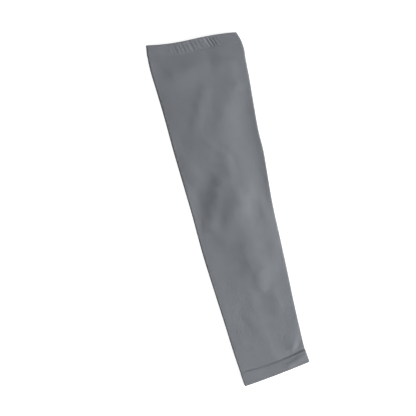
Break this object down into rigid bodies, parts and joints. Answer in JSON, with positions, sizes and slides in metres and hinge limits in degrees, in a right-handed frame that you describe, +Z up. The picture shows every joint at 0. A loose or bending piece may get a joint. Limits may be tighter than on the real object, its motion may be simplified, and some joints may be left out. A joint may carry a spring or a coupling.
{
  "type": "arm sleeve",
  "caption": "Stretch-knit arm sleeve lying flat: a tapered tube open at both ends, with a gathered band at the upper arm and a folded band at the wrist.",
  "frame": {"origin": "on the surface the sleeve lies on, under the middle of its bounding box", "axes": "+Y from the wrist hem to the upper-arm hem, +X to the right seen from above, +Z up from the surface"},
  "size_m": [0.1172, 0.4306, 0.0127],
  "materials": {
    "tube_knit": "matte grey jersey knit",
    "wrist_band_knit": "matte grey jersey knit, folded double",
    "upper_band_knit": "matte grey jersey knit, folded double and gathered"
  },
  "bodies": {
    "root": {"sleeve_tube": "tube_knit", "wrist_band": "wrist_band_knit", "upper_band": "upper_band_knit"}
  },
  "joints": []
}
